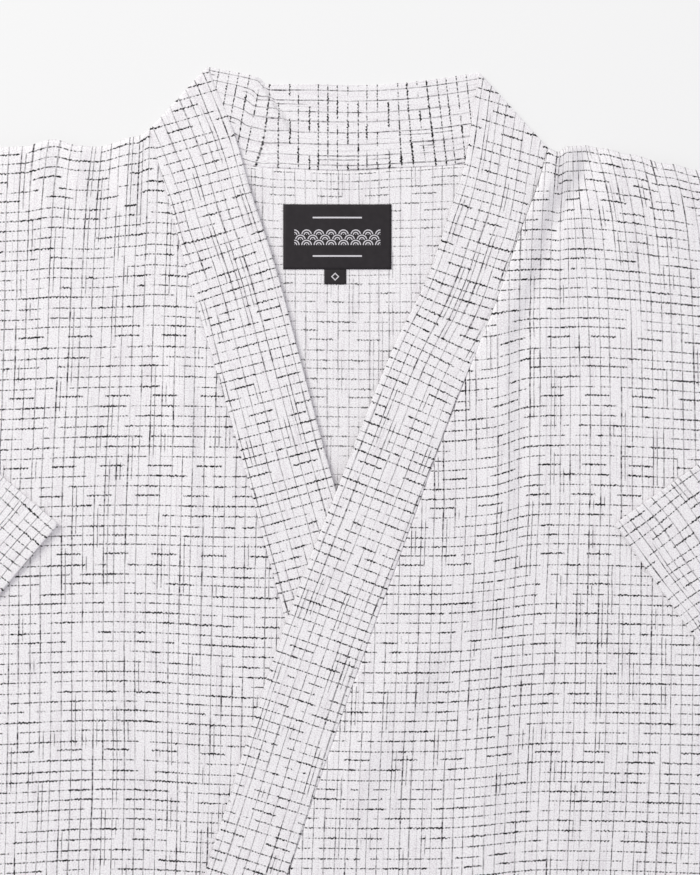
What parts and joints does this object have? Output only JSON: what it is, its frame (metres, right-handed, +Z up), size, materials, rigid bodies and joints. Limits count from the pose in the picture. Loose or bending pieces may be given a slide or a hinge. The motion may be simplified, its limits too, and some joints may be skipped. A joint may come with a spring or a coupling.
{
  "type": "jinbei set",
  "caption": "Wrap-front cotton jinbei jacket with its sleeve ends folded over the front and plain ties, with matching elastic-waist shorts, laid flat.",
  "frame": {"origin": "on the surface the set lies on, under the middle of its box", "axes": "+Z up off the surface, +Y towards the neck, +X towards the wearer's left, the side of the front that lies on top"},
  "size_m": [0.7152, 1.3762, 0.0098],
  "materials": {
    "kasuri_cotton": "white plain-weave cotton with a broken black and grey slub check, matt",
    "woven_label": "black woven satin label with a silver-grey traditional wave motif"
  },
  "bodies": {
    "root": {"back_panel": "kasuri_cotton", "collar_back": "kasuri_cotton", "front_right_under": "kasuri_cotton", "band_right_under": "kasuri_cotton", "front_left_over": "kasuri_cotton", "band_left_over": "kasuri_cotton", "sleeve_left": "kasuri_cotton", "sleeve_right": "kasuri_cotton", "neck_label": "woven_label", "size_tab": "woven_label", "tie_front": "kasuri_cotton", "tie_side": "kasuri_cotton", "shorts_back_left": "kasuri_cotton", "shorts_back_right": "kasuri_cotton", "shorts_front_left": "kasuri_cotton", "shorts_front_right": "kasuri_cotton", "waistband_back": "kasuri_cotton", "waistband_front": "kasuri_cotton"}
  },
  "joints": []
}
